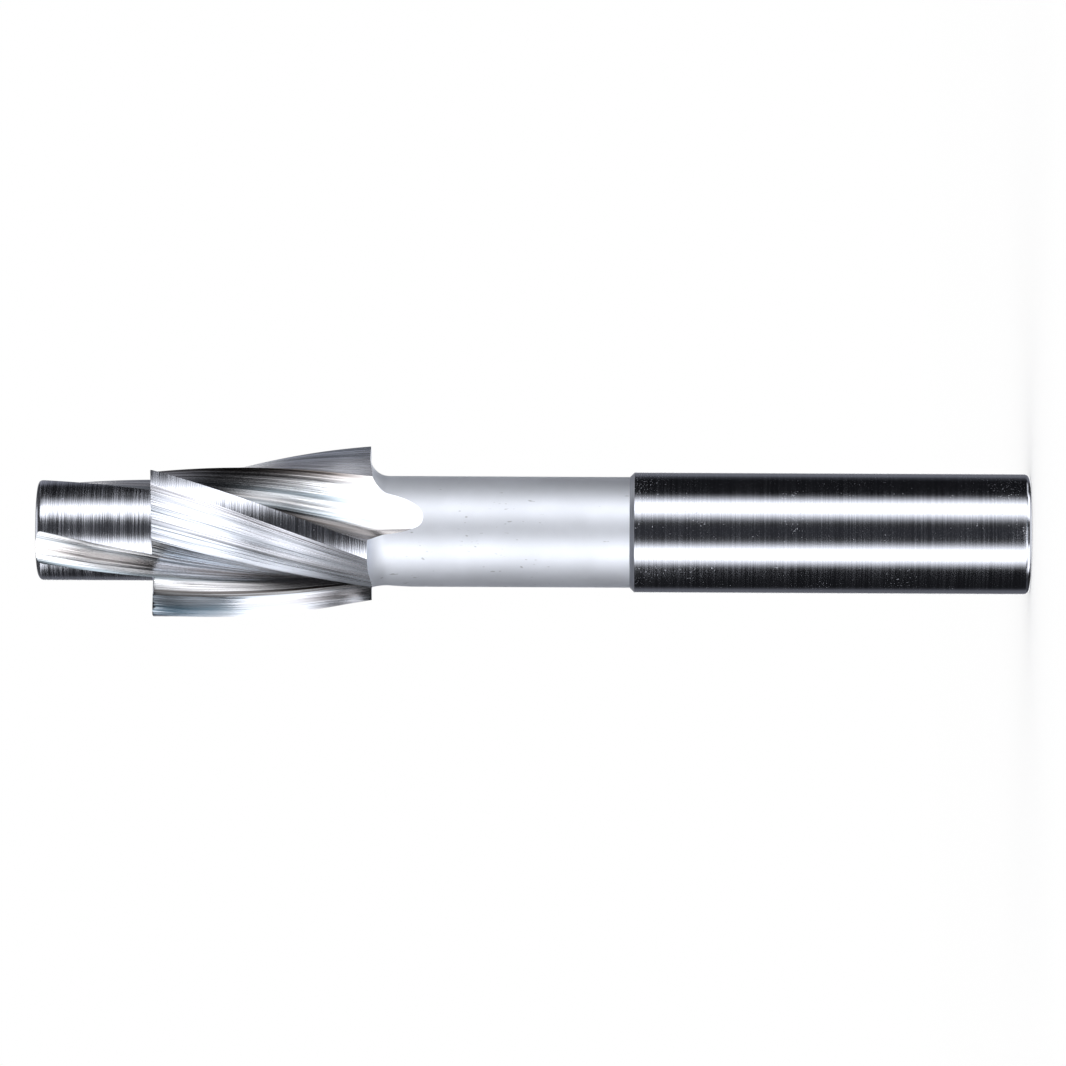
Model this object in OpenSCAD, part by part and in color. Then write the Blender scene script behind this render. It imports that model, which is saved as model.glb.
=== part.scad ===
// Counterbore cutter with a solid pilot, helical flutes and a parallel shank, ground from one
// piece of high speed steel. It stands on the end of its shank with the pilot up. Z is the axis
// and starts at the centre of the shank's end face. Lengths are millimetres, angles degrees.

/* [Cutting head] */
// Diameter over the cutting edges
head_d = 18; // [16:0.1:20]
// Length of the head from its back to the cutting edges
head_len = 22.5; // [16:0.5:30]
// Number of teeth and of the flutes between them
teeth = 3; // [3:1:4]
// Helix angle on the outside of the head, right hand
helix_angle = 20; // [10:1:30]
// Width of the round land behind each cutting edge, along the arc
land_w = 1.7; // [0.8:0.1:2.5]
// Relief of the front faces behind the end cutting edges
front_relief = 3; // [1:0.5:8]
// Turn of the first cutting edge about the axis, at the front of the head
edge_turn = -46; // [-180:1:180]

/* [Flutes] */
// Diameter of the core that the flutes leave
core_d = 9.75; // [8.5:0.05:10.2]
// Radius between the floor of a flute and its cutting face
floor_r = 2.5; // [1.5:0.1:3]
// Diameter over the heels, where the backs of the teeth meet the flutes
heel_d = 13.1; // [12.2:0.1:14.5]
// Share of the tooth pitch from a cutting edge to its heel
heel_share = 0.44; // [0.34:0.01:0.48]
// Radius of the arc on which a flute runs out of the neck
runout_r = 42; // [25:1:60]
// Distance ahead of the back of the head where that arc begins
runout_lead = 3; // [0:0.5:6]
// Length in which the helix runs straight behind the head
helix_fade = 1.5; // [0.5:0.1:3]

/* [Pilot] */
// Diameter of the pilot
pilot_d = 10.5; // [9:0.1:11.5]
// Length of the pilot ahead of the cutting edges
pilot_len = 12; // [6:0.5:18]

/* [Neck and shank] */
// Diameter of the shank
shank_d = 12.5; // [12:0.1:14]
// Length of the shank
shank_len = 41.5; // [30:0.5:55]
// Depth of the neck below the surface of the shank
neck_step = 0.5; // [0.2:0.1:0.8]
// Length of the neck between the shank and the head
neck_len = 27; // [16:0.5:40]
// Radius between the neck and the back of the head
neck_fillet = 2; // [0.5:0.1:2.4]
// Rounding of the edges at both ends of the tool
end_r = 0.6; // [0.2:0.1:1]

/* [Hidden] */
// Facets of the round surfaces
$fn = 96;
// Length of one step along a flute
step_len = 1.25;
// Height of the planes along the axis
z_neck = shank_len;
z_back = z_neck + neck_len;
z_face = z_back + head_len;
z_tip = z_face + pilot_len;
// Radii
head_r = head_d / 2;
pilot_r = pilot_d / 2;
shank_r = shank_d / 2;
neck_r = shank_r - neck_step;
core_r = core_d / 2;
heel_r = heel_d / 2;
// Angle from tooth to tooth, and the angles behind a cutting edge
pitch = 360 / teeth;
land_a = land_w / head_r * 180 / PI;
heel_a = pitch * heel_share;
// Turn of the flutes for each millimetre along the axis
turn = tan(helix_angle) / head_r * 180 / PI;
// Centre of the arc at the foot of a cutting face
foot_r = core_r + floor_r;
foot_a = pitch - asin(floor_r / foot_r);
foot = polar(foot_r, -foot_a);
// Corners of a flute: land, heel, and the ends of the arc at the foot
land = polar(head_r, -land_a);
heel = polar(heel_r, -heel_a);
to_foot = foot - heel;
reach = norm(to_foot);
floor_a = atan2(to_foot[1], to_foot[0]) - asin(floor_r / reach);
arc_from = floor_a - 90;
arc_to = -90 - pitch;
// Radius that stays clear of the head
clear_r = head_r * 1.35;
// Way a flute lifts out of the neck, square to its floor
lift_a = floor_a + 90;
// Length of the run-out behind the head
runout_top = z_back + runout_lead;
runout_rise = max(neck_r - core_r, 0) + floor_r * 0.4;
runout_len = sqrt(2 * runout_r * runout_rise - runout_rise * runout_rise);

// Point at a radius and an angle
function polar(r, a) = [r * cos(a), r * sin(a)];

// Points from p up to q, q left out
function between(p, q, n) = [for (i = [0 : n - 1]) p + (q - p) * i / n];

// Cross-section of one flute, with the cutting edge of the tooth ahead of it at angle 0
flute = concat(
  between(land + (land - heel) * 0.6, heel, 7),
  between(heel, foot + polar(floor_r, arc_from), 5),
  [for (i = [0 : 8]) foot + polar(floor_r, arc_from + (arc_to - arc_from) * i / 8)],
  [for (i = [1 : 4]) polar(foot_r + (clear_r - foot_r) * i / 4, -pitch)],
  [for (i = [1 : 4]) polar(clear_r, -pitch + (pitch - 12) * i / 4)]
);

// Turn of the cross-section at a height: the helix fades out just behind the head
function past_fade(z) = z - z_back + helix_fade / 2;
function faded(d) = (d + sqrt(d * d + helix_fade * helix_fade)) / 2;
function turn_at(z) = edge_turn - turn * (head_len + helix_fade / 2 - faded(past_fade(z)));

// Lift of the cross-section at a height, on the arc of the run-out
function drop_at(z) = max(0, runout_top - z);
function lift_at(z) = runout_r - sqrt(runout_r * runout_r - drop_at(z) * drop_at(z));

// Cross-section at a height, turned and lifted to its place
function ring(z) = [
  for (p = flute)
    let (q = p + polar(lift_at(z), lift_a))
      [
        q[0] * cos(turn_at(z)) - q[1] * sin(turn_at(z)),
        q[0] * sin(turn_at(z)) + q[1] * cos(turn_at(z)),
        z
      ]
];

// Turned blank: shank, neck, head and pilot
module blank() {
  rotate_extrude() {
    polygon([
      [0, 0],
      [shank_r - end_r, 0],
      [shank_r, end_r],
      [shank_r, z_neck - neck_step],
      [neck_r, z_neck],
      [neck_r, z_back],
      [head_r, z_back],
      [head_r, z_face],
      [pilot_r, z_face],
      [pilot_r, z_tip - end_r],
      [pilot_r - end_r, z_tip],
      [0, z_tip]
    ]);
    translate([shank_r - end_r, end_r])
      circle(end_r);
    translate([pilot_r - end_r, z_tip - end_r])
      circle(end_r);
    difference() {
      translate([neck_r - neck_fillet / 2, z_back - neck_fillet])
        square(neck_fillet * 1.5);
      translate([neck_r + neck_fillet, z_back - neck_fillet])
        circle(neck_fillet);
    }
  }
}

// Space of one flute, from above the pilot down to its run-out on the neck
module flute_space() {
  top = z_tip + step_len;
  low = runout_top - runout_len;
  steps = ceil((top - low) / step_len);
  n = len(flute);
  rings = [for (i = [0 : steps]) ring(low + (top - low) * i / steps)];
  sides = [
    for (i = [0 : steps - 1], j = [0 : n - 1])
      let (a = i * n + j, b = i * n + (j + 1) % n)
        each [[a, a + n, b], [b, a + n, b + n]]
  ];
  bottom = [for (j = [0 : n - 1]) j];
  lid = [for (j = [n - 1 : -1 : 0]) steps * n + j];
  polyhedron([for (r = rings) each r], concat(sides, [bottom, lid]));
}

// Space in front of one tooth, sloping back from its end cutting edge
module front_space() {
  difference() {
    translate([0, 0, z_face])
      rotate([0, 0, edge_turn])
        rotate([front_relief, 0, 0])
          linear_extrude(head_r)
            polygon([
              [0, 0],
              polar(clear_r, land_a / 2),
              polar(clear_r * 1.3, -pitch * 0.4),
              polar(clear_r, -pitch * 0.8)
            ]);
    cylinder(h = z_tip + clear_r, r = pilot_r);
  }
}

// The whole tool
module counterbore_cutter() {
  color([0.66, 0.67, 0.70])
    difference() {
      blank();
      for (i = [0 : teeth - 1])
        rotate([0, 0, i * pitch]) {
          flute_space();
          front_space();
        }
    }
}

counterbore_cutter();
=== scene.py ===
"""Counterbore cutter, ground from one bar of high speed steel, on a plain pale floor.

The cutter stands on the end of its shank with the pilot up, and Z is its axis. Sizes are metres.
"""
import math

import bpy
from bpy.props import FloatProperty, FloatVectorProperty, IntProperty, PointerProperty
from mathutils import Matrix, Vector


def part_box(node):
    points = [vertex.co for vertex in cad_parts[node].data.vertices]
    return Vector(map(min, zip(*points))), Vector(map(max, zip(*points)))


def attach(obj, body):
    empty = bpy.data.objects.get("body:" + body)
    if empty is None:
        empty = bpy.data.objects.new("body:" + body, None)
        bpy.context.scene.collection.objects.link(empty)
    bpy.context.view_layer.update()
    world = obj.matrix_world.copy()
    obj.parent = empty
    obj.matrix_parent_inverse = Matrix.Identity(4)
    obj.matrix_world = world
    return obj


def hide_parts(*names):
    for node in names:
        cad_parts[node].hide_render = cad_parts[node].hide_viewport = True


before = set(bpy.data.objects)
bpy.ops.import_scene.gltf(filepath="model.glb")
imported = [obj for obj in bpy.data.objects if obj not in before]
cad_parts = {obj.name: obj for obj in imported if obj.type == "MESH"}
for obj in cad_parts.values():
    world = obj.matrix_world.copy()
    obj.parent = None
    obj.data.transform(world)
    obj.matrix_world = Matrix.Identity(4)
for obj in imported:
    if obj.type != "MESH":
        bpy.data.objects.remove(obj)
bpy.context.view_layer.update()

NODE = "counterbore_cutter"
TIP_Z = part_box(NODE)[1].z

bl_info = {
    "name": "Counterbore cutter",
    "version": (1, 0, 0),
    "blender": (4, 5, 0),
    "location": "View3D > Sidebar > Cutter",
    "description": "Turns, flutes and finishes a counterbore cutter, and sets a studio round it",
    "category": "Add Mesh",
}

# Finishes of the cutter, in the order of its material slots
SHANK, PILOT, NECK, TURNED, LAND, FACE, BACK, FLUTE, RAKE = range(9)
FINISH_NAMES = (
    "shank_ground", "pilot_ground", "neck_blasted", "end_turned",
    "land_ground", "front_ground", "tooth_back_ground", "flute_polished", "rake_polished",
)

# Space that is cut out for a flute
SPACE_REACH = 1.35  # its outer radius, in head radii
SPACE_OVER_TIP = 0.001  # how far above the tip it starts
BACK_OVERRUN = 0.35  # how far the line of a tooth's back runs on past the land, in its own length
OUTSIDE_END = math.radians(12)  # turn behind a cutting edge at which its outside ends
RUNOUT_MARGIN = 0.4  # how far it lifts clear of the neck at its end, in floor radii

# Steps of the curves
BACK_STEPS = 20
HEEL_STEPS = 14
FLOOR_STEPS = 24
RAKE_STEPS = 14
OUTSIDE_STEPS = 5
ROUNDING_STEPS = 8
FILLET_STEPS = 12

# Limits of what counts as touching, level or sharp
MERGE_GAP = 1e-7  # vertices closer than this become one
HEIGHT_GAP = 1e-6  # faces closer than this to a height are at it
FRONT_GAP = 2e-6  # vertices closer than this to the front faces are on them
EDGE_GAP = 1e-3  # turns closer than this to a cutting edge are on it
LEVEL_SLOPE = 0.99  # a face whose normal has more than this along the axis is level
SHARP_ANGLE = math.radians(28)  # edges that turn more than this are shaded as sharp

# Drawing
QUARTER = math.pi / 2
SEED_SIZE = 0.001  # plane that is merged into the first vertex of an outline

# Sockets of nodes
MIX_FIRST, MIX_SECOND, MIX_RESULT = 6, 7, 2  # colours of the mix node
VALUE, VECTOR = "NodeSocketFloat", "NodeSocketVector"

# Streaks in the flutes
FADE_BEHIND, FADE_AHEAD = 0.003, 0.006  # from the back of the head, where the streaks fade in
RIM_START = 0.0005  # how far above the core the painted shade of the rim begins

# Floor
FLOOR_WIDTH = 12
FLOOR_GRID = 8  # steps across it
FLOOR_DROP = 0.00005  # how far it lies below the end of the shank
FLOOR_NEAR, FLOOR_FAR = 0.02, 0.4  # distances between which its glow grows
FLOOR_NEAR_GLOW = 0.35  # share of glow near the cutter

# Reflection cards and rings
WHITE = (1.0, 1.0, 1.0)
DUSK = (0.88, 0.9, 1.0)  # hue of the dark cards
TEAL = (0.32, 0.66, 0.85)
HARD = 0.0001  # a soft edge so narrow that it looks hard
EVEN = (0.0, 0.0)  # no soft edges, or no fringe
RING_STEPS = 64
GAP_LEVEL = 2.0  # what a gap adds to the level of a ring
GAP_SOFTNESS = math.radians(10)  # turn over which a gap opens and closes

# Lamp and camera
LAMP_PLACE = (0.0, -0.1, 1.2)
LAMP_WIDTH = 1.4
SENSOR_WIDTH = 36.0
NEAREST_SEEN = 0.01


# Settings that a user would change


def length(name, description, default):
    return FloatProperty(
        name=name, description=description, default=default, unit="LENGTH", precision=5)


def angle(name, description, degrees):
    return FloatProperty(
        name=name, description=description, default=math.radians(degrees), subtype="ANGLE")


def colour(name, description, default):
    return FloatVectorProperty(
        name=name, description=description, default=default, subtype="COLOR", min=0, max=1)


def factor(name, description, default):
    return FloatProperty(
        name=name, description=description, default=default, subtype="FACTOR", min=0, max=1)


class CutterSizes(bpy.types.PropertyGroup):
    """Sizes of the cutter"""

    head_radius: length("Head radius", "Radius over the cutting edges", 0.009)
    head_length: length("Head length", "From the back of the head to the cutting edges", 0.0225)
    pilot_radius: length("Pilot radius", "Radius of the guide pilot", 0.00525)
    pilot_length: length("Pilot length", "Length of the pilot ahead of the cutting edges", 0.012)
    shank_radius: length("Shank radius", "Radius of the parallel shank", 0.00625)
    neck_step: length("Neck step", "Depth of the neck below the shank", 0.0005)
    neck_length: length("Neck length", "Length of the neck between shank and head", 0.027)
    neck_fillet: length("Neck fillet", "Radius between the neck and the back of the head", 0.002)
    end_rounding: length("End rounding", "Rounding of the edges at both ends", 0.0006)
    land_width: length("Land width", "Width of the round land along its arc", 0.0017)
    core_radius: length("Core radius", "Radius of the core that the flutes leave", 0.004875)
    floor_radius: length("Floor radius", "Radius between a flute's floor and its cutting face", 0.0025)
    heel_radius: length("Heel radius", "Distance of the heels from the axis", 0.00655)
    runout_radius: length("Run-out radius", "Arc on which a flute runs out of the neck", 0.042)
    runout_lead: length("Run-out lead", "How far ahead of the head's back that arc begins", 0.003)
    helix_fade: length("Helix fade", "Length in which the helix runs straight", 0.0015)
    helix: angle("Helix angle", "Helix angle on the outside of the head", 20)
    relief: angle("Front relief", "Relief of the front faces behind their edges", 3)
    edge_turn: angle("Edge turn", "Turn of the first cutting edge about the axis", -46)
    heel_share: factor("Heel share", "Share of the tooth pitch from an edge to its heel", 0.44)
    teeth: IntProperty(name="Teeth", description="Number of teeth", default=3, min=2, max=6)
    round_steps: IntProperty(name="Steps round", description="Steps of the turned blank", default=256)
    ring_gap: length("Ring gap", "Distance between the rings of a flute", 0.0004)


class CutterFinish(bpy.types.PropertyGroup):
    """Colours of the steel, and of the painted shade along the rims of the flutes"""

    steel: colour("Ground steel", "Colour of the ground surfaces", (0.55, 0.57, 0.64))
    polished: colour("Polished steel", "Colour of the floors of the flutes", (0.585, 0.578, 0.6))
    blasted: colour("Blasted steel", "Colour of the matt neck", (0.77, 0.80, 0.87))
    warm: colour("Warm tint", "Warm tint in the flutes", (0.72, 0.63, 0.6))
    cool: colour("Cool tint", "Cool tint in the flutes", (0.5, 0.65, 0.77))
    # Colour of the painted shade along the rims of the flutes
    painted_rim_shade: colour("Painted_rim_shade", "Dark stain along the rims of the flutes", (0.06, 0.05, 0.045))


class StudioLook(bpy.types.PropertyGroup):
    """Light, floor and camera"""

    floor: colour("Floor", "Colour of the floor", (0.92, 0.92, 0.92))
    lens: FloatProperty(
        name="Lens", description="Focal length in millimetres", default=279.5, unit="CAMERA")
    eye: FloatVectorProperty(
        name="Eye", description="Place of the camera", default=(0.0, -0.86, 0.036), unit="LENGTH")
    aim: FloatVectorProperty(
        name="Aim", description="Point in the middle of the picture",
        default=(-0.00011, 0.0, 0.05156), unit="LENGTH")
    tilt: angle("Tilt", "Turn of the cutter's axis in the picture", 0.275)
    strip: FloatProperty(
        name="Strip level", description="Brightness of the strip lights", default=2.8)
    lamp: FloatProperty(
        name="Lamp", description="Power of the lamp over the floor", default=6.0, unit="POWER")
    fill: factor("Fill", "Level of the soft light all round", 0.8)


# Helpers


def polar(radius, turn):
    return Vector((radius * math.cos(turn), radius * math.sin(turn)))


def camera_side(degrees):
    """Level direction at a turn from the camera's side."""
    turn = math.radians(degrees)
    return Vector((math.sin(turn), -math.cos(turn), 0))


def between(start, end, count):
    """Points from start up to end, end left out."""
    return [start + (end - start) * i / count for i in range(count)]


def arc(centre, radius, start, end, count):
    """Points on an arc between two turns, both ends included."""
    return [centre + polar(radius, start + (end - start) * i / count) for i in range(count + 1)]


def clear_selection():
    """Leave edit mode and deselect everything."""
    if bpy.context.object and bpy.context.object.mode != "OBJECT":
        bpy.ops.object.mode_set(mode="OBJECT")
    bpy.ops.object.select_all(action="DESELECT")


def choose(piece):
    """Make a piece the active one and the only one selected."""
    clear_selection()
    piece.select_set(True)
    bpy.context.view_layer.objects.active = piece


def draw_outline(name, points):
    """A line of vertices through points, left in edit mode with its last vertex selected."""
    clear_selection()
    bpy.ops.mesh.primitive_plane_add(size=SEED_SIZE, location=(0, 0, 0))
    drawn = bpy.context.object
    drawn.name = drawn.data.name = name
    bpy.ops.object.mode_set(mode="EDIT")
    bpy.ops.mesh.select_all(action="SELECT")
    bpy.ops.mesh.merge(type="CENTER")
    bpy.ops.transform.translate(value=points[0])
    for last, here in zip(points, points[1:]):
        bpy.ops.mesh.extrude_region_move(TRANSFORM_OT_translate={"value": here - last})
    return drawn


def mend_and_close(drawn):
    """Merge doubles and turn every face outwards, then leave edit mode."""
    bpy.ops.mesh.select_all(action="SELECT")
    bpy.ops.mesh.remove_doubles(threshold=MERGE_GAP)
    bpy.ops.mesh.normals_make_consistent(inside=False)
    bpy.ops.object.mode_set(mode="OBJECT")
    return drawn


class Plan:
    """Heights, angles and curves that follow from the sizes."""

    def __init__(self, sizes):
        self.sizes = sizes
        self.z_tip = TIP_Z
        self.z_back = TIP_Z - sizes.pilot_length - sizes.head_length
        self.z_neck = self.z_back - sizes.neck_length
        self.z_face = self.z_back + sizes.head_length
        self.neck_radius = sizes.shank_radius - sizes.neck_step
        self.pitch = math.tau / sizes.teeth
        self.twist = math.tan(sizes.helix) / sizes.head_radius
        sections, self.lift_angle = self.space_sections()
        self.outline = [point for _, points in sections for point in points]
        self.finishes = [finish for finish, points in sections for _ in points]
        self.runout_top = self.z_back + sizes.runout_lead
        rise = max(self.neck_radius - sizes.core_radius, 0) + sizes.floor_radius * RUNOUT_MARGIN
        self.runout_length = math.sqrt(2 * sizes.runout_radius * rise - rise * rise)

    def space_sections(self):
        """Outline of a flute's space in parts, each a finish and its points, and the direction in
        which the space lifts off its floor."""
        sizes = self.sizes
        reach = sizes.head_radius * SPACE_REACH
        foot_radius = sizes.core_radius + sizes.floor_radius
        foot = polar(foot_radius, math.asin(sizes.floor_radius / foot_radius) - self.pitch)
        land = polar(sizes.head_radius, -sizes.land_width / sizes.head_radius)
        heel = polar(sizes.heel_radius, -self.pitch * sizes.heel_share)
        way = foot - heel
        floor_angle = math.atan2(way.y, way.x) - math.asin(sizes.floor_radius / way.length)
        curve = arc(foot, sizes.floor_radius, floor_angle - QUARTER, -QUARTER - self.pitch, FLOOR_STEPS)
        sections = (
            (BACK, between(land + (land - heel) * BACK_OVERRUN, heel, BACK_STEPS)),
            (FLUTE, between(heel, curve[0], HEEL_STEPS) + curve[:-1]),
            (RAKE, between(curve[-1], polar(reach, -self.pitch), RAKE_STEPS)),
            (FLUTE, arc(Vector((0, 0)), reach, -self.pitch, -OUTSIDE_END, OUTSIDE_STEPS)),
        )
        return sections, floor_angle + QUARTER

    def turn_at(self, z):
        """Turn of a flute's section at a height: the helix fades out just behind the head."""
        fade = self.sizes.helix_fade
        past = z - self.z_back + fade / 2
        faded = (past + math.hypot(past, fade)) / 2
        return self.sizes.edge_turn - self.twist * (self.sizes.head_length + fade / 2 - faded)

    def lift_at(self, z):
        """Lift of a flute's section at a height, on the arc of the run-out."""
        radius = self.sizes.runout_radius
        drop = max(0.0, self.runout_top - z)
        return radius - math.sqrt(radius ** 2 - drop ** 2)

    def blank_outline(self):
        """Half section of the turned blank, from the axis at the shank's end to the axis at the tip."""
        sizes = self.sizes
        rounding, fillet = sizes.end_rounding, sizes.neck_fillet
        end_centre = Vector((sizes.shank_radius - rounding, rounding))
        tip_centre = Vector((sizes.pilot_radius - rounding, self.z_tip - rounding))
        fillet_centre = Vector((self.neck_radius + fillet, self.z_back - fillet))
        # Each stop comes after the number of steps on the line that leads to it
        stops = (
            (0, [Vector((0, 0))]),
            (6, arc(end_centre, rounding, -QUARTER, 0, ROUNDING_STEPS)),
            (20, [Vector((sizes.shank_radius, self.z_neck - sizes.neck_step))]),
            (3, [Vector((self.neck_radius, self.z_neck))]),
            (30, arc(fillet_centre, fillet, math.pi, QUARTER, FILLET_STEPS)),
            (3, [Vector((sizes.head_radius, self.z_back))]),
            (32, [Vector((sizes.head_radius, self.z_face))]),
            (8, [Vector((sizes.pilot_radius, self.z_face))]),
            (18, arc(tip_centre, rounding, 0, QUARTER, ROUNDING_STEPS)),
            (6, [Vector((0, self.z_tip))]),
        )
        points = []
        for steps, stop in stops:
            if points:
                points += between(points.pop(), stop[0], steps)
            points += stop
        return [Vector((point.x, 0, point.y)) for point in points]


def plan_of(context):
    return Plan(context.scene.cutter_sizes)


# Node building


def empty_tree(owner):
    """The node tree of a new material or world, with nothing in it."""
    owner.use_nodes = True
    owner.node_tree.nodes.clear()
    return owner.node_tree


def add(tree, kind, inputs=None, **settings):
    """A node with settings; inputs maps socket names or numbers to values or sockets."""
    made = tree.nodes.new(kind)
    for key, value in settings.items():
        setattr(made, key, value)
    for key, value in (inputs or {}).items():
        if isinstance(value, bpy.types.NodeSocket):
            tree.links.new(value, made.inputs[key])
        else:
            made.inputs[key].default_value = value
    return made


def maths(tree, operation, first, second=0.0, clamp=False):
    made = add(tree, "ShaderNodeMath", {0: first, 1: second}, operation=operation, use_clamp=clamp)
    return made.outputs[0]


def vectors(tree, operation, *operands, scale=None):
    inputs = dict(enumerate(operands))
    if scale is not None:
        inputs["Scale"] = scale
    return add(tree, "ShaderNodeVectorMath", inputs, operation=operation).outputs[0]


def length_of(tree, vector):
    return add(tree, "ShaderNodeVectorMath", {0: vector}, operation="LENGTH").outputs["Value"]


def flattened(tree, place):
    """Places brought down to a height of zero."""
    return vectors(tree, "MULTIPLY", place, (1.0, 1.0, 0.0))


def parts_of(tree, vector):
    """X, Y and Z of a vector."""
    return add(tree, "ShaderNodeSeparateXYZ", {0: vector}).outputs


def coordinates(tree, kind):
    return add(tree, "ShaderNodeTexCoord").outputs[kind]


def ramp(tree, value, low, high, to_low=0.0, to_high=1.0):
    """Value mapped smoothly from low..high to to_low..to_high."""
    made = add(tree, "ShaderNodeMapRange", {
        "Value": value, "From Min": low, "From Max": high, "To Min": to_low, "To Max": to_high,
    }, interpolation_type="SMOOTHSTEP")
    return made.outputs[0]


def window(tree, value, low, high, rise, fall):
    """1 between low and high and 0 outside, with a soft rise and fall just inside them."""
    risen = ramp(tree, value, low, low + rise)
    left = ramp(tree, value, high - fall, high, 1.0, 0.0)
    return maths(tree, "MULTIPLY", risen, left)


def shares(tree, first, second, share):
    """The first value by its share and the second by the rest, added."""
    taken = maths(tree, "MULTIPLY", first, share)
    rest = maths(tree, "MULTIPLY", second, 1.0 - share)
    return maths(tree, "ADD", taken, rest)


def noise(tree, place, scale, detail=2.0, roughness=0.5):
    return add(tree, "ShaderNodeTexNoise", {
        "Vector": place, "Scale": scale, "Detail": detail, "Roughness": roughness,
    }).outputs["Fac"]


def mix(tree, share, first, second):
    """A colour between two others, each a plain colour or a socket."""
    first, second = (
        end if isinstance(end, bpy.types.NodeSocket) else (*end, 1.0) for end in (first, second))
    made = add(tree, "ShaderNodeMix", {
        "Factor": share, MIX_FIRST: first, MIX_SECOND: second,
    }, data_type="RGBA")
    return made.outputs[MIX_RESULT]


def group(name, inputs, output, kind):
    """A new shader group; returns its tree, its inputs and the socket of its one output."""
    tree = bpy.data.node_groups.new(name, "ShaderNodeTree")
    for key, socket_type in inputs.items():
        tree.interface.new_socket(key, in_out="INPUT", socket_type=socket_type)
    tree.interface.new_socket(output, in_out="OUTPUT", socket_type=kind)
    return tree, add(tree, "NodeGroupInput").outputs, add(tree, "NodeGroupOutput").inputs[output]


def stretched_lines_group():
    """Lines from noise that is stretched: fine across, long along."""
    tree, given, out = group(
        "Stretched lines", {"Place": VECTOR, "Stretch": VECTOR, "Detail": VALUE}, "Lines", VALUE)
    place = vectors(tree, "MULTIPLY", given["Place"], given["Stretch"])
    lines = noise(tree, place, scale=1.0, detail=given["Detail"], roughness=0.6)
    tree.links.new(lines, out)


def untwist_group(plan):
    """Places on the cutter with the helix taken out, so that a pattern runs along the flutes."""
    tree, given, out = group("Helix taken out", {"Place": VECTOR}, "Place", VECTOR)
    height = maths(tree, "MAXIMUM", parts_of(tree, given["Place"])["Z"], plan.z_back)
    turned = add(tree, "ShaderNodeVectorRotate", {
        "Vector": given["Place"], "Angle": maths(tree, "MULTIPLY", height, -plan.twist),
    }, rotation_type="Z_AXIS")
    tree.links.new(turned.outputs[0], out)


def sway_group():
    """Normal that sways to and fro round the axis from one grinding line to the next."""
    tree, given, out = group(
        "Swaying normal", {"Place": VECTOR, "Lines": VALUE, "Amount": VALUE}, "Normal", VECTOR)
    outwards = flattened(tree, given["Place"])
    side = vectors(tree, "NORMALIZE", vectors(tree, "CROSS_PRODUCT", (0.0, 0.0, 1.0), outwards))
    swing = maths(tree, "MULTIPLY", maths(tree, "SUBTRACT", given["Lines"], 0.5), given["Amount"])
    normal = add(tree, "ShaderNodeNewGeometry").outputs["Normal"]
    moved = vectors(tree, "ADD", normal, vectors(tree, "SCALE", side, scale=swing))
    tree.links.new(vectors(tree, "NORMALIZE", moved), out)


def flecks_group():
    """Small scattered marks, more of them where the share is higher."""
    tree, given, out = group(
        "Flecks", {"Place": VECTOR, "Scale": VALUE, "Share": VALUE}, "Mask", VALUE)
    threshold, lowering, softness = 0.78, 0.2, 0.05
    spots = noise(tree, given["Place"], given["Scale"], detail=1.0)
    low = maths(tree, "SUBTRACT", threshold, maths(tree, "MULTIPLY", given["Share"], lowering))
    mask = add(tree, "ShaderNodeMapRange", {
        "Value": spots, "From Min": low, "From Max": maths(tree, "ADD", low, softness),
    }).outputs[0]
    tree.links.new(mask, out)


def use(tree, name, **inputs):
    """Place a shared group in a material and give its inputs."""
    return add(tree, "ShaderNodeGroup", inputs, node_tree=bpy.data.node_groups[name]).outputs[0]


# Finishes


def steel_material(name, base, roughness):
    """A bare metal material; returns it, its tree, its shader's inputs and Object coordinates."""
    made = bpy.data.materials.new(name)
    tree = empty_tree(made)
    shader = add(tree, "ShaderNodeBsdfPrincipled", {
        "Base Color": (*base, 1.0), "Metallic": 1.0, "Roughness": roughness,
    })
    add(tree, "ShaderNodeOutputMaterial", {"Surface": shader.outputs[0]})
    return made, tree, shader.inputs, coordinates(tree, "Object")


def tone(base, share):
    """A colour made lighter or darker."""
    return tuple(min(1.0, part * share) for part in base)


def raise_surface(tree, shader, height, strength, depth):
    """Bump a surface by a pattern of heights."""
    bump = add(tree, "ShaderNodeBump", {"Strength": strength, "Distance": depth, "Height": height})
    tree.links.new(bump.outputs[0], shader["Normal"])


def ground_finish(name, look, sway, fine, flecks, roughness, streak):
    """Cylindrically ground steel: fine lines round the axis, and a few flecks.

    Sway is how far the lines tip the surface, fine is how close they lie, and streak is how much
    they differ in tone.
    """
    made, tree, shader, place = steel_material(name, look.steel, roughness)
    lines = use(tree, "Stretched lines", Place=place, Stretch=(90.0, 90.0, fine * 1.6), Detail=1.0)
    rings = add(tree, "ShaderNodeTexWave", {
        "Vector": place, "Scale": fine * 0.32, "Distortion": 5.0, "Detail": 1.0, "Detail Scale": 0.6,
    }, bands_direction="Z").outputs["Fac"]
    both = shares(tree, lines, rings, 0.6)
    normal = use(tree, "Swaying normal", Place=place, Lines=both, Amount=sway)
    tree.links.new(normal, shader["Normal"])
    darker, lighter = tone(look.steel, 1.0 - streak), tone(look.steel, 1.0 + streak)
    tree.links.new(mix(tree, ramp(tree, lines, 0.3, 0.7), darker, lighter), shader["Base Color"])
    patch = noise(tree, place, scale=140.0)
    share = maths(tree, "MULTIPLY", ramp(tree, patch, 0.4, 0.75), flecks)
    marks = use(tree, "Flecks", Place=place, Scale=5200.0, Share=share)
    rough = ramp(tree, lines, 0.25, 0.75, roughness * 0.75, roughness * 1.25)
    rough = maths(tree, "ADD", rough, maths(tree, "MULTIPLY", marks, 0.3))
    tree.links.new(rough, shader["Roughness"])
    return made


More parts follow.
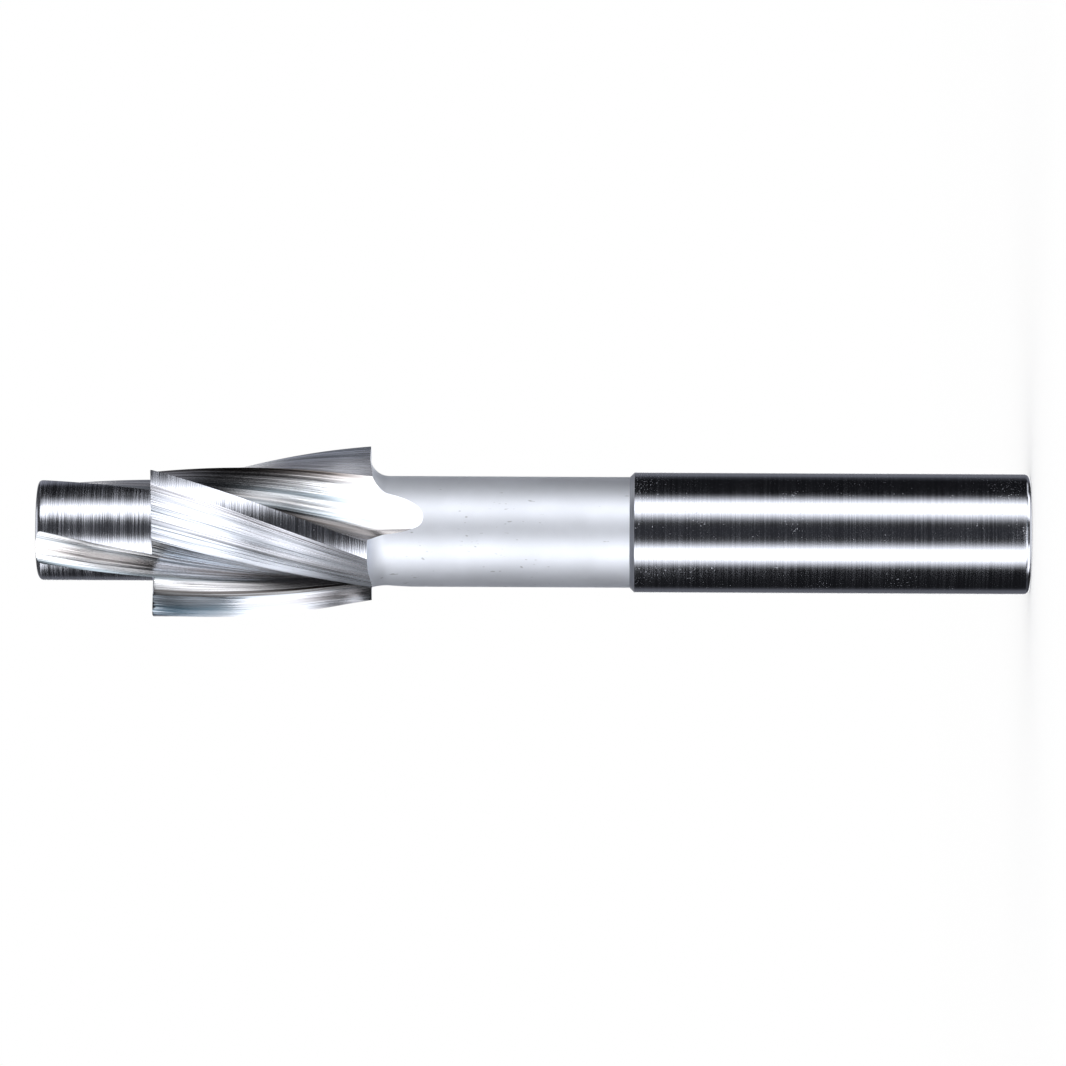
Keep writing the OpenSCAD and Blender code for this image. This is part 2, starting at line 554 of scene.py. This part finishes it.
def blasted_finish(name, look):
    """Matt blasted steel with a fine grain and a few small dark marks."""
    made, tree, shader, place = steel_material(name, look.blasted, 0.55)
    grain = noise(tree, place, scale=9000.0, roughness=0.6)
    cloud = noise(tree, place, scale=160.0, detail=3.0)
    patch = noise(tree, place, scale=90.0, detail=1.0)
    share = maths(tree, "MULTIPLY", ramp(tree, patch, 0.46, 0.72), 0.56)
    drawn_out = vectors(tree, "MULTIPLY", place, (1.0, 1.0, 0.4))
    marks = use(tree, "Flecks", Place=drawn_out, Scale=2600.0, Share=share)
    darker, lighter = tone(look.blasted, 0.95), tone(look.blasted, 1.04)
    shade = mix(tree, ramp(tree, cloud, 0.3, 0.7), darker, lighter)
    shade = mix(tree, maths(tree, "MULTIPLY", marks, 0.55), shade, tone(look.blasted, 0.4))
    tree.links.new(shade, shader["Base Color"])
    raise_surface(tree, shader, grain, strength=0.35, depth=0.00002)
    tree.links.new(ramp(tree, grain, 0.2, 0.8, 0.50, 0.60), shader["Roughness"])
    return made


def turned_finish(name, look):
    """End faces and chamfer: fine rings from turning, in a tone darker than the ground steel that is
    painted shade.
    """
    made, tree, shader, place = steel_material(name, tone(look.steel, 0.6), 0.42)
    closeness = 9000.0
    reach = maths(tree, "MULTIPLY", length_of(tree, flattened(tree, place)), closeness)
    ring = add(tree, "ShaderNodeCombineXYZ", {"X": reach}).outputs[0]
    rings = noise(tree, ring, scale=1.0)
    # Painted shade: the rings lie between 0.45 and 0.85 of the ground steel's tone
    shade = mix(tree, rings, tone(look.steel, 0.45), tone(look.steel, 0.85))
    tree.links.new(shade, shader["Base Color"])
    raise_surface(tree, shader, rings, strength=0.4, depth=0.00001)
    tree.links.new(ramp(tree, rings, 0.2, 0.8, 0.36, 0.5), shader["Roughness"])
    return made


def streaked_finish(name, plan, look, steel, across, depth, contrast, tint, roughness, rim=0.0):
    """Ground along the helix: streaks, a faint play of colour, and painted shade along the rim.

    Across is how close the streaks lie, depth is how deep they are, and contrast is how much they
    differ in tone. They fade out behind the head, where the flutes run out.
    """
    made, tree, shader, place = steel_material(name, steel, roughness)
    straight = use(tree, "Helix taken out", Place=place)
    wide = across * 0.3
    fine = use(
        tree, "Stretched lines", Place=straight, Stretch=(across, across, across * 0.012), Detail=3.0)
    broad = use(tree, "Stretched lines", Place=straight, Stretch=(wide, wide, 14.0), Detail=2.0)
    both = shares(tree, fine, broad, 0.6)
    height = parts_of(tree, place)["Z"]
    kept = ramp(tree, height, plan.z_back - FADE_BEHIND, plan.z_back + FADE_AHEAD)
    darker, lighter = tone(steel, 1.0 - contrast), tone(steel, 1.0 + contrast * 0.4)
    shade = mix(tree, ramp(tree, both, 0.4, 0.58), darker, lighter)
    shade = mix(tree, kept, tone(steel, 1.0 + contrast * 0.3), shade)
    hue = use(tree, "Stretched lines", Place=straight, Stretch=(420.0, 420.0, 12.0), Detail=1.0)
    tinted = mix(tree, ramp(tree, hue, 0.35, 0.65), look.cool, look.warm)
    shade = mix(tree, tint, shade, tinted)
    # Painted shade: the flute turns darker towards its rims, broken up by the streaks
    if rim:
        reach = length_of(tree, flattened(tree, place))
        start = plan.sizes.core_radius + RIM_START
        near = ramp(tree, reach, start, plan.sizes.heel_radius, 0.0, rim)
        streaks = ramp(tree, fine, 0.4, 0.6, 1.0, 0.55)
        near = maths(tree, "MULTIPLY", maths(tree, "MULTIPLY", near, kept), streaks)
        shade = mix(tree, near, shade, look.painted_rim_shade)
    tree.links.new(shade, shader["Base Color"])
    raise_surface(tree, shader, both, strength=kept, depth=depth)
    rough = ramp(tree, fine, 0.2, 0.8, roughness * 0.7, roughness * 1.3)
    tree.links.new(rough, shader["Roughness"])
    return made


def make_finishes(plan, look):
    """The cutter's materials, in the order of its slots."""
    stretched_lines_group()
    untwist_group(plan)
    sway_group()
    flecks_group()

    def ground(finish, **values):
        return ground_finish(FINISH_NAMES[finish], look, **values)

    def streaked(finish, steel, **values):
        return streaked_finish(FINISH_NAMES[finish], plan, look, steel, **values)

    steel, polished = look.steel, look.polished
    return [
        ground(SHANK, sway=0.012, fine=5000.0, flecks=0.8, roughness=0.16, streak=0.07),
        ground(PILOT, sway=0.11, fine=5000.0, flecks=0.4, roughness=0.23, streak=0.25),
        blasted_finish(FINISH_NAMES[NECK], look),
        turned_finish(FINISH_NAMES[TURNED], look),
        ground(LAND, sway=0.1, fine=4500.0, flecks=0.2, roughness=0.2, streak=0.2),
        streaked(FACE, steel, across=2600.0, depth=4e-6, contrast=0.25, tint=0.1, roughness=0.2),
        streaked(BACK, steel, across=4600.0, depth=4e-5, contrast=0.75, tint=0.1, roughness=0.28),
        # rim is the strength of the painted shade along the rims of the flutes
        streaked(
            FLUTE, polished, across=2800.0, depth=8e-5, contrast=0.8, tint=0.3, roughness=0.18, rim=0.85),
        streaked(RAKE, steel, across=2600.0, depth=4e-5, contrast=0.3, tint=0.35, roughness=0.16),
    ]


# Operators


class COUNTERBORE_OT_blank(bpy.types.Operator):
    """Turn the blank of the cutter: shank, neck, head and pilot"""

    bl_idname = "counterbore.blank"
    bl_label = "Turn blank"

    def execute(self, context):
        plan = plan_of(context)
        blank = draw_outline(NODE + "_body", plan.blank_outline())
        bpy.ops.mesh.select_all(action="SELECT")
        bpy.ops.mesh.spin(
            steps=plan.sizes.round_steps, angle=math.tau, center=(0, 0, 0), axis=(0, 0, 1))
        mend_and_close(blank)
        for finish in make_finishes(plan, context.scene.cutter_finish):
            blank.data.materials.append(finish)
        for face in blank.data.polygons:
            face.material_index = self.finish_of(plan, face)
        return {"FINISHED"}

    def finish_of(self, plan, face):
        """Finish of a face of the blank, by its height and slope."""
        z = face.center.z
        level = abs(face.normal.z) > LEVEL_SLOPE
        if level and (z < HEIGHT_GAP or z > plan.z_tip - HEIGHT_GAP):
            return TURNED
        if z < plan.z_neck - plan.sizes.neck_step + HEIGHT_GAP:
            return SHANK
        if z < plan.z_neck:
            return TURNED
        if z < plan.z_back + HEIGHT_GAP:
            return NECK
        if level:
            return FACE
        if z < plan.z_face:
            return LAND
        return PILOT


class COUNTERBORE_OT_flutes(bpy.types.Operator):
    """Grind the helical flutes out of the blank and relieve the front faces"""

    bl_idname = "counterbore.flutes"
    bl_label = "Grind flutes"

    def execute(self, context):
        plan = plan_of(context)
        blank = context.scene.objects.get(NODE + "_body")
        if blank is None:
            raise RuntimeError("turn the blank before the flutes are ground")
        wheel = self.sweep(plan)
        for finish in blank.data.materials:
            wheel.data.materials.append(finish)
        self.colour_walls(plan, wheel)
        self.copy_round(plan, wheel)
        choose(blank)
        cut = blank.modifiers.new("Flutes", "BOOLEAN")
        cut.operation = "DIFFERENCE"
        cut.solver = "EXACT"
        cut.object = wheel
        bpy.ops.object.modifier_apply(modifier=cut.name)
        bpy.data.objects.remove(wheel)
        self.relieve(plan, blank)
        self.smooth(blank)
        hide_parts(NODE)
        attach(blank, "root")
        return {"FINISHED"}

    def sweep(self, plan):
        """Space of one flute, swept from above the pilot down to its run-out on the neck."""
        top = plan.z_tip + SPACE_OVER_TIP
        low = plan.runout_top - plan.runout_length
        count = math.ceil((top - low) / plan.sizes.ring_gap)
        step = (low - top) / count
        last_turn, last_lift = plan.turn_at(top), 0.0
        turned = Matrix.Rotation(last_turn, 2)
        ring = [turned @ point for point in plan.outline]
        wheel = draw_outline("flute_space", [Vector((point.x, point.y, top)) for point in ring])
        bpy.ops.mesh.select_all(action="SELECT")
        bpy.ops.mesh.edge_face_add()
        for i in range(1, count + 1):
            z = top + step * i
            turn, lift = plan.turn_at(z), plan.lift_at(z)
            bpy.ops.mesh.extrude_region_move(TRANSFORM_OT_translate={"value": (0, 0, step)})
            # With no window rotate turns the other way
            bpy.ops.transform.rotate(
                value=last_turn - turn, orient_axis="Z", center_override=(0, 0, 0))
            if lift > 0:
                out = polar(lift - last_lift, plan.lift_angle + turn)
                bpy.ops.transform.translate(value=(out.x, out.y, 0))
            last_turn, last_lift = turn, lift
        return mend_and_close(wheel)

    def colour_walls(self, plan, wheel):
        """Give each wall of the flute the finish of the part of the outline that it comes from."""
        following = plan.outline[1:] + plan.outline[:1]
        middles = [(here + there) / 2 for here, there in zip(plan.outline, following)]
        for face in wheel.data.polygons:
            place = face.center
            flat = Matrix.Rotation(-plan.turn_at(place.z), 2) @ place.to_2d()
            flat -= polar(plan.lift_at(place.z), plan.lift_angle)
            nearest = min(range(len(middles)), key=lambda i: (middles[i] - flat).length_squared)
            face.material_index = plan.finishes[nearest]

    def copy_round(self, plan, wheel):
        """The other flutes, turned copies in the same mesh."""
        count = len(wheel.data.vertices)
        for i in range(1, plan.sizes.teeth):
            bpy.ops.object.mode_set(mode="EDIT")
            bpy.ops.mesh.select_all(action="DESELECT")
            bpy.ops.object.mode_set(mode="OBJECT")
            for vertex in wheel.data.vertices:
                vertex.select = vertex.index < count
            bpy.ops.object.mode_set(mode="EDIT")
            bpy.ops.mesh.select_mode(type="VERT")
            bpy.ops.mesh.duplicate()
            bpy.ops.transform.rotate(
                value=-plan.pitch * i, orient_axis="Z", center_override=(0, 0, 0))
        bpy.ops.object.mode_set(mode="OBJECT")

    def relieve(self, plan, blank):
        """Slope each front face back from its cutting edge, along the walls of the flutes."""
        sizes = plan.sizes
        for vertex in blank.data.vertices:
            place = vertex.co
            reach = place.to_2d().length
            if abs(place.z - plan.z_face) > FRONT_GAP or reach < sizes.pilot_radius - FRONT_GAP:
                continue
            behind = (sizes.edge_turn - math.atan2(place.y, place.x)) % plan.pitch
            if behind > plan.pitch - EDGE_GAP:
                behind = 0.0
            drop = math.tan(sizes.relief) * reach * math.sin(min(behind, QUARTER))
            place.z -= drop
            place.xy = Matrix.Rotation(-plan.twist * drop, 2) @ place.to_2d()

    def smooth(self, blank):
        """Smooth shading, with sharp edges wherever two finishes meet."""
        choose(blank)
        bpy.ops.object.shade_smooth_by_angle(angle=SHARP_ANGLE)
        mesh = blank.data
        finishes = {}
        for face in mesh.polygons:
            for key in face.edge_keys:
                finishes.setdefault(key, set()).add(face.material_index)
        for edge in mesh.edges:
            if len(finishes.get(edge.key, ())) > 1:
                edge.use_edge_sharp = True


class COUNTERBORE_OT_stage(bpy.types.Operator):
    """Set the floor, the soft light, the reflection cards and the camera"""

    bl_idname = "counterbore.stage"
    bl_label = "Set stage"

    def execute(self, context):
        look = context.scene.cutter_studio
        self.world(context, look)
        self.floor(look)
        self.cards(look)
        self.lamp(look)
        self.camera(context, look)
        context.scene.view_settings.view_transform = "Standard"
        return {"FINISHED"}

    def seen_share(self, tree):
        """1 for rays from the camera and for mirrored and refracted ones."""
        path = add(tree, "ShaderNodeLightPath").outputs
        both = maths(tree, "ADD", path["Is Camera Ray"], path["Is Glossy Ray"], clamp=True)
        return maths(tree, "ADD", both, path["Is Transmission Ray"], clamp=True)

    def world(self, context, look):
        """White where it is seen, and the level of the fill where it lights."""
        sky = bpy.data.worlds.new("studio_white")
        context.scene.world = sky
        tree = empty_tree(sky)
        level = ramp(tree, self.seen_share(tree), 0.0, 1.0, look.fill, 1.0)
        back = add(tree, "ShaderNodeBackground", {"Color": (*WHITE, 1.0), "Strength": level})
        add(tree, "ShaderNodeOutputWorld", {"Surface": back.outputs[0]})

    def floor(self, look):
        """A pale floor that keeps the shadow near the cutter and glows white further off."""
        clear_selection()
        bpy.ops.mesh.primitive_grid_add(
            x_subdivisions=FLOOR_GRID, y_subdivisions=FLOOR_GRID, size=FLOOR_WIDTH,
            location=(0, 0, -FLOOR_DROP))
        ground = bpy.context.object
        ground.name = "floor"
        bpy.ops.object.transform_apply(location=True, rotation=True, scale=True)
        made = bpy.data.materials.new("pale_floor")
        tree = empty_tree(made)
        reach = length_of(tree, coordinates(tree, "Object"))
        far = ramp(tree, reach, FLOOR_NEAR, FLOOR_FAR, FLOOR_NEAR_GLOW, 1.0)
        lit = add(tree, "ShaderNodeBsdfDiffuse", {"Color": (*look.floor, 1.0)})
        glow = add(tree, "ShaderNodeEmission", {
            "Color": (*WHITE, 1.0), "Strength": self.seen_share(tree),
        })
        both = add(tree, "ShaderNodeMixShader", {0: far, 1: lit.outputs[0], 2: glow.outputs[0]})
        add(tree, "ShaderNodeOutputMaterial", {"Surface": both.outputs[0]})
        ground.data.materials.append(made)
        ground.visible_glossy = False

    def card(self, name, ends, reach, heights, level, soft=EVEN, fringe=EVEN, hue=WHITE):
        """An upright card seen only in reflections.

        Its ends are turns from the camera's side in degrees, at a reach from the axis, and its
        heights are those of its lower and upper edge.
        """
        clear_selection()
        start, end = (camera_side(turn) * reach for turn in ends)
        low, high = heights
        way = end - start
        bpy.ops.mesh.primitive_plane_add(size=1, rotation=(QUARTER, 0, math.atan2(way.y, way.x)))
        made = bpy.context.object
        made.name = name
        made.scale = (way.length, high - low, 1)
        made.location = (start + end) / 2 + Vector((0, 0, (low + high) / 2))
        bpy.ops.object.transform_apply(location=True, rotation=True, scale=True)
        self.paint(made, level, soft, fringe, hue)

    def paint(self, made, level, soft=EVEN, fringe=EVEN, hue=WHITE):
        """Make a card glow, and hide it from all but mirrored rays; returns its tree and strength.

        The level rises and falls off over the two soft shares of the card's width. The fringe, a
        value for each end, is added all along.
        """
        finish = bpy.data.materials.new(made.name)
        tree = empty_tree(finish)
        glow = add(tree, "ShaderNodeEmission", {"Color": (*hue, 1.0), "Strength": level})
        if any(soft):
            across = parts_of(tree, coordinates(tree, "UV"))["X"]
            share = window(tree, across, 0.0, 1.0, *soft)
            strength = maths(tree, "MULTIPLY", maths(tree, "MULTIPLY", share, share), level)
            rest = ramp(tree, across, 0.0, 1.0, *fringe)
            tree.links.new(maths(tree, "ADD", strength, rest), glow.inputs["Strength"])
        add(tree, "ShaderNodeOutputMaterial", {"Surface": glow.outputs[0]})
        made.data.materials.append(finish)
        made.visible_camera = made.visible_diffuse = made.visible_shadow = False
        made.visible_transmission = made.visible_volume_scatter = False
        return tree, glow.inputs["Strength"]

    def ring(self, name, height, inner, outer, level, gaps=()):
        """A level ring seen only in reflections, which darkens the rounded edge that faces it, but
        for gaps between turns from the camera's side, where it is bright."""
        clear_selection()
        bpy.ops.mesh.primitive_circle_add(
            vertices=RING_STEPS, radius=inner, location=(0, 0, height))
        made = bpy.context.object
        made.name = name
        bpy.ops.object.mode_set(mode="EDIT")
        bpy.ops.mesh.select_all(action="SELECT")
        bpy.ops.mesh.extrude_region_move()
        bpy.ops.transform.resize(value=(outer / inner, outer / inner, 1))
        bpy.ops.object.mode_set(mode="OBJECT")
        bpy.ops.object.transform_apply(location=True, rotation=True, scale=True)
        tree, strength = self.paint(made, level)
        if not gaps:
            return
        parts = parts_of(tree, coordinates(tree, "Object"))
        turn = maths(tree, "ARCTAN2", parts["X"], maths(tree, "MULTIPLY", parts["Y"], -1.0))
        total = level
        for start, end in gaps:
            opening = window(
                tree, turn, math.radians(start), math.radians(end), GAP_SOFTNESS, GAP_SOFTNESS)
            total = maths(tree, "ADD", maths(tree, "MULTIPLY", opening, GAP_LEVEL), total)
        tree.links.new(total, strength)

    def cards(self, look):
        """The strips, flags and glints that the steel mirrors, and a ring by each end."""
        card, strip, faint = self.card, look.strip, (0.04, 0.012)
        card("strip_upper", (13.5, 85), 0.55, (-0.5, 0.9), strip, soft=(0.5, 0.52), fringe=faint)
        card("strip_lower", (-8.5, -78), 0.55, (-0.1, 0.9), strip, soft=(0.46, 0.52), fringe=faint)
        card("wing_upper", (23, 66), 0.44, (0.145, 0.36), 2.4, soft=(0.2, 0.3), fringe=(0.1, 0.1))
        card("wing_lower", (-12, -75), 0.5, (0.145, 0.5), 2.4, soft=(0.2, 0.35), fringe=(0.1, 0.3))
        card("front_dark", (-30, 40), 1.05, (-0.18, 0.9), 0.04, hue=DUSK)
        card("low_front", (-70, -14), 0.5, (-0.3, -0.1), 2.0, soft=(0.45, HARD), fringe=(0.1, 0.1))
        card("low_side", (-14, 34), 0.5, (-0.155, -0.1), 2.0, soft=(HARD, 0.75), fringe=(0.1, 0.3))
        card("low_dark", (-14, 40), 0.5, (-0.206, -0.155), 0.015, hue=DUSK)
        card("low_teal", (-14, 40), 0.5, (-0.232, -0.206), 0.6, hue=TEAL)
        card("flag_upper", (60, 125), 0.6, (-0.2, 0.31), 0.012, hue=DUSK)
        card("glint_upper", (66, 108), 0.1, (0.0785, 0.0908), 1.5, soft=(0.1, 0.5), fringe=(0.05, 0.05))
        card("glint_edge", (70, 122), 0.08, (0.057, 0.068), 0.6, soft=(0.1, 0.3), fringe=(0.05, 0.05))
        card("glint_back", (110, 140), 0.1, (0.0725, 0.083), 1.2, soft=(0.3, 0.4), fringe=(0.03, 0.03))
        card("glint_lower", (-62, -98), 0.42, (0.074, 0.12), 1.2, soft=(0.25, 0.5), fringe=(0.1, 0.05))
        card("glint_under", (-54, -98), 0.07, (0.064, 0.083), 1.6, soft=(0.2, 0.5), fringe=(0.1, 0.05))
        card("flag_heel", (-99, -132), 0.1, (0.0975, 0.125), 0.03, hue=DUSK)
        card("flag_lower", (-50, -122), 0.9, (-0.26, 0.19), 0.012, hue=DUSK)
        card("low_lower", (-50, -95), 0.9, (-1.0, -0.26), 1.3, soft=(0.01, 0.5), fringe=(0.1, 0.1))
        card("low_far", (-95, -165), 0.9, (-1.2, -0.2), 0.08, hue=DUSK)
        card("high_lower", (-50, -130), 0.9, (0.185, 0.44), 2.4, soft=(0.01, 0.7), fringe=(0.3, 0.4))
        card("high_far", (-75, -165), 0.9, (0.44, 1.6), 0.4, hue=DUSK)
        card("grey_upper", (125, 165), 0.6, (-0.8, 0.5), 0.2, (0.5, HARD), (0.04, 0.04), DUSK)
        card("pale_upper", (116, 178), 0.58, (0.138, 0.4), 0.3, (0.3, HARD), (0.08, 0.08), DUSK)
        card("grey_lower", (-122, -165), 0.9, (-0.9, 1.0), 0.18, (0.5, HARD), (0.012, 0.012), DUSK)
        card("back", (150, 210), 1.0, (-0.9, 1.0), 1.4, soft=(0.4, 0.4))
        self.ring(
            "shade_under", height=-0.006, inner=0.0071, outer=0.0135, level=0.03,
            gaps=((20, 82), (-76, -14)))
        self.ring("shade_over", height=0.125, inner=0.013, outer=0.055, level=0.06)

    def lamp(self, look):
        """One soft lamp over the cutter, not mirrored in it."""
        clear_selection()
        bpy.ops.object.light_add(type="AREA", location=LAMP_PLACE)
        lamp = bpy.context.object
        lamp.name = "soft_lamp"
        lamp.rotation_euler = (-lamp.location).to_track_quat("-Z", "Y").to_euler()
        lamp.data.size = LAMP_WIDTH
        lamp.data.energy = look.lamp
        lamp.visible_glossy = False

    def camera(self, context, look):
        """A camera laid on its side, so that the upright cutter lies across the picture."""
        clear_selection()
        bpy.ops.object.camera_add()
        eye = bpy.context.object
        eye.name = "camera"
        eye.data.lens = look.lens
        eye.data.sensor_width = SENSOR_WIDTH
        eye.data.clip_start = NEAREST_SEEN
        eye.location = look.eye
        back = (Vector(look.eye) - Vector(look.aim)).normalized()
        up = Vector((math.cos(look.tilt), 0, math.sin(look.tilt)))
        right = up.cross(back).normalized()
        up = back.cross(right)
        eye.rotation_euler = Matrix((right, up, back)).transposed().to_euler()
        context.scene.camera = eye


STEPS = (COUNTERBORE_OT_blank, COUNTERBORE_OT_flutes, COUNTERBORE_OT_stage)


class VIEW3D_PT_counterbore(bpy.types.Panel):
    """Steps and settings of the cutter"""

    bl_label = "Counterbore cutter"
    bl_space_type = "VIEW_3D"
    bl_region_type = "UI"
    bl_category = "Cutter"

    def draw(self, context):
        scene = context.scene
        column = self.layout.column()
        for step in STEPS:
            column.operator(step.bl_idname)
        for settings in (scene.cutter_sizes, scene.cutter_finish, scene.cutter_studio):
            box = self.layout.box()
            for key in settings.__annotations__:
                box.prop(settings, key)


CLASSES = (CutterSizes, CutterFinish, StudioLook, *STEPS, VIEW3D_PT_counterbore)


def register():
    for kind in CLASSES:
        bpy.utils.register_class(kind)
    bpy.types.Scene.cutter_sizes = PointerProperty(type=CutterSizes)
    bpy.types.Scene.cutter_finish = PointerProperty(type=CutterFinish)
    bpy.types.Scene.cutter_studio = PointerProperty(type=StudioLook)


def unregister():
    del bpy.types.Scene.cutter_sizes
    del bpy.types.Scene.cutter_finish
    del bpy.types.Scene.cutter_studio
    for kind in reversed(CLASSES):
        bpy.utils.unregister_class(kind)


def main():
    register()
    bpy.ops.counterbore.blank()
    bpy.ops.counterbore.flutes()
    bpy.ops.counterbore.stage()


if __name__ == "__main__":
    main()
